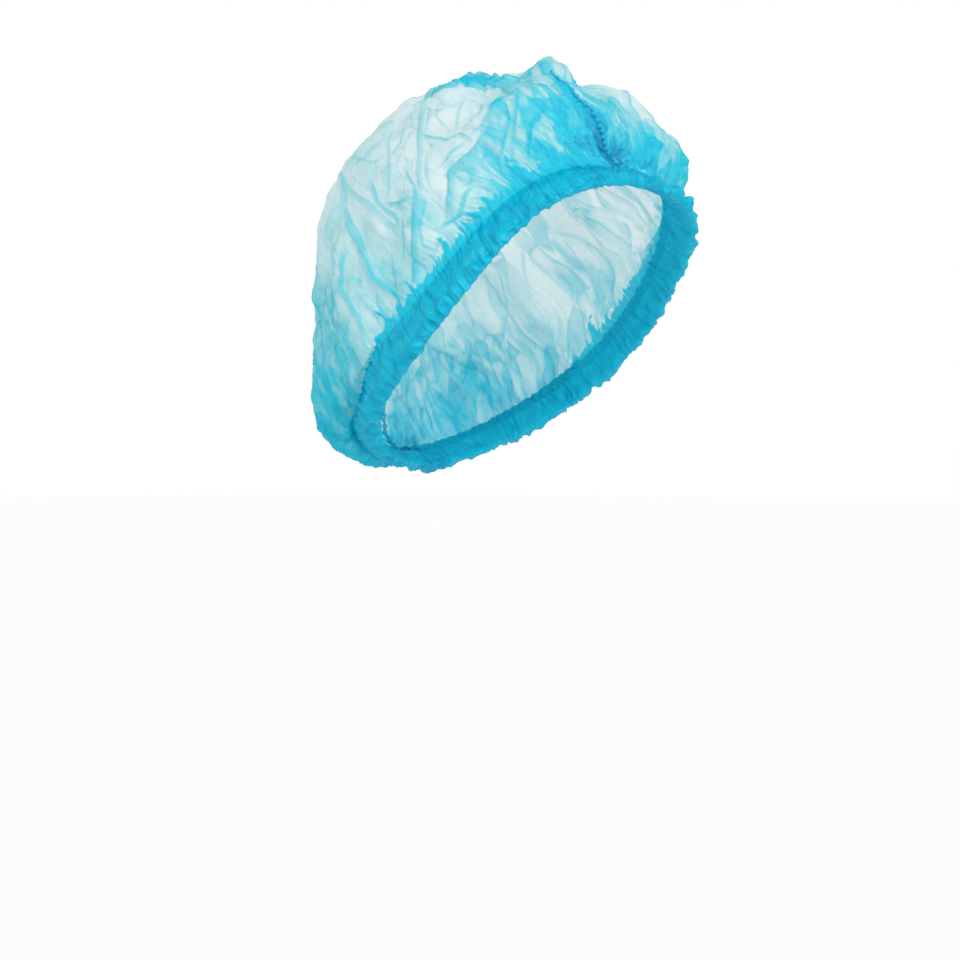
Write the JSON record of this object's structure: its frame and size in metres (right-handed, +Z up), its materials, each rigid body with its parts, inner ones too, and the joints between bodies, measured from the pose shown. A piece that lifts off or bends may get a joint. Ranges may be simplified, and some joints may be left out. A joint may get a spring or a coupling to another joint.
{
  "type": "disposable pleated clip cap",
  "caption": "Puffed translucent nonwoven hair cap gathered into an elastic headband, as worn, with a ruffled seam at the front and back.",
  "frame": {"origin": "middle of the rim of the head opening, where the cap sits on a head", "axes": "+Z up as worn, the face towards -Y, the wearer's left towards +X; the rim is tipped up 42 degrees towards the forehead"},
  "size_m": [0.1628, 0.1974, 0.1959],
  "materials": {
    "crown_nonwoven": "thin translucent spunbond nonwoven, creased",
    "band_nonwoven": "the same nonwoven in many gathered layers, saturated cyan",
    "elastic": "flat covered elastic strip, matte",
    "weld_seam": "ultrasonically welded and ruffled layers, slightly glossy"
  },
  "bodies": {
    "root": {"crown": "crown_nonwoven", "band_right": "band_nonwoven", "band_left": "band_nonwoven", "elastic_right": "elastic", "elastic_left": "elastic", "front_seam": "weld_seam", "back_seam": "weld_seam"}
  },
  "joints": []
}
